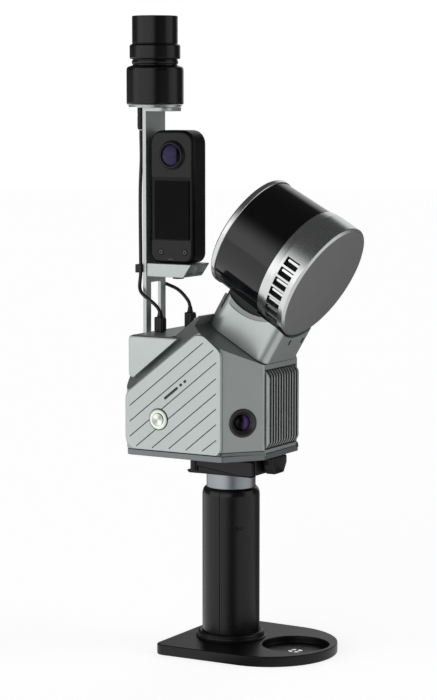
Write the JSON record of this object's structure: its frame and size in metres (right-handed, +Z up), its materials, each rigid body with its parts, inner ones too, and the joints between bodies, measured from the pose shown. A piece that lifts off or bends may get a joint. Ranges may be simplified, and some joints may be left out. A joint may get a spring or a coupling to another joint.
{
  "type": "terrestrial laser scanner",
  "caption": "Handheld laser scanner on a survey base: tilted spinning laser head, faceted body, mast with antenna, panoramic camera on a tray, round handle and D-shaped foot.",
  "frame": {"origin": "on the handle's axis, at the underside of the survey base", "axes": "+X towards the finned front face, +Z up along the handle, -Y towards the side with the power button"},
  "size_m": [0.2092, 0.1197, 0.5257],
  "materials": {
    "light_shell": "light grey satin paint",
    "grey_shell": "mid grey satin paint",
    "black_metal": "black anodised",
    "black_plastic": "matte black",
    "dark_glass": "dark gloss",
    "lens_glass": "coated lens",
    "steel": "brushed",
    "laser_metal": "silver grey satin",
    "rotor_black": "matte black",
    "board_green": "solder mask",
    "cell_blue": "film wrap over steel can"
  },
  "bodies": {
    "stand": {"side_panel_right": "light_shell", "side_panel_left": "light_shell", "rear_housing": "light_shell", "camera_tray": "light_shell", "mast_bracket": "light_shell", "bottom_cover": "grey_shell", "main_housing": "grey_shell", "heat_sink": "grey_shell", "base_plate": "black_metal", "base_collar": "black_metal", "handle_end_cap": "black_metal", "quick_release_body": "black_metal", "mapping_camera_bezel_right": "black_metal", "mapping_camera_bezel_left": "black_metal", "swivel_motor": "black_metal", "antenna_socket_right": "black_metal", "antenna_socket_left": "black_metal", "handle_shell_front": "black_plastic", "handle_shell_rear": "black_plastic", "antenna_radome": "black_plastic", "antenna_lead_right": "black_plastic", "antenna_lead_left": "black_plastic", "lead_plug_right": "black_plastic", "lead_plug_left": "black_plastic", "lead_clip": "black_plastic", "panoramic_camera_body": "black_plastic", "panoramic_camera_screen": "dark_glass", "mapping_camera_lens_right": "lens_glass", "mapping_camera_lens_left": "lens_glass", "panoramic_lens_right": "lens_glass", "panoramic_lens_left": "lens_glass", "base_screw_1": "steel", "base_screw_2": "steel", "base_screw_3": "steel", "neck_tube": "steel", "quick_release_pin": "steel", "power_button_bezel": "steel", "antenna_base_ring": "steel", "main_board": "board_green", "antenna_core": "board_green", "battery_cell_1": "cell_blue", "battery_cell_2": "cell_blue", "battery_cell_3": "cell_blue"},
    "head": {"swivel_housing": "light_shell", "laser_seat": "black_metal", "swivel_shaft": "steel", "laser_base": "laser_metal", "laser_window": "dark_glass", "laser_top_cap": "laser_metal", "laser_spindle": "steel"},
    "laser_rotor": {"laser_rotor": "rotor_black"},
    "power_button": {"power_button_cap": "steel"},
    "shutter_button": {"camera_shutter_button": "black_plastic"},
    "camera_power_button": {"camera_power_button": "black_plastic"},
    "release_lever": {"quick_release_lever": "black_metal"},
    "release_latch": {"quick_release_latch": "black_plastic"},
    "thumb_screw": {"tray_thumb_screw": "steel"}
  },
  "joints": [
    {"name": "head_turn", "type": "hinge", "parent": "stand", "child": "head", "pos_m": [0.02067, 0, 0.25857], "axis": [0.5105, 0, 0.8599], "continuous": true},
    {"name": "laser_spin", "type": "hinge", "parent": "head", "child": "laser_rotor", "pos_m": [0.08571, 0, 0.30974], "axis": [0.8599, 0, -0.5105], "continuous": true},
    {"name": "power_button_press", "type": "slide", "parent": "stand", "child": "power_button", "axis": [0, 1, 0], "range_m": [0, 0.001], "stiffness_N_per_m": 800, "springref_m": -0.0005},
    {"name": "shutter_button_press", "type": "slide", "parent": "stand", "child": "shutter_button", "axis": [0, 1, 0], "range_m": [0, 0.0005], "stiffness_N_per_m": 600, "springref_m": -0.0004},
    {"name": "camera_power_button_press", "type": "slide", "parent": "stand", "child": "camera_power_button", "axis": [0, 1, 0], "range_m": [0, 0.0005], "stiffness_N_per_m": 600, "springref_m": -0.0004},
    {"name": "release_lever_swing", "type": "hinge", "parent": "stand", "child": "release_lever", "pos_m": [-0.0195, -0.0262, 0.157], "axis": [0, 0, 1], "range_deg": [-80, 0]},
    {"name": "release_latch_push", "type": "slide", "parent": "stand", "child": "release_latch", "axis": [-1, 0, 0], "range_m": [0, 0.0015], "stiffness_N_per_m": 1500, "springref_m": -0.001},
    {"name": "thumb_screw_turn", "type": "hinge", "parent": "stand", "child": "thumb_screw", "pos_m": [-0.0498, -0.002, 0.3], "axis": [0, 0, 1], "continuous": true}
  ]
}
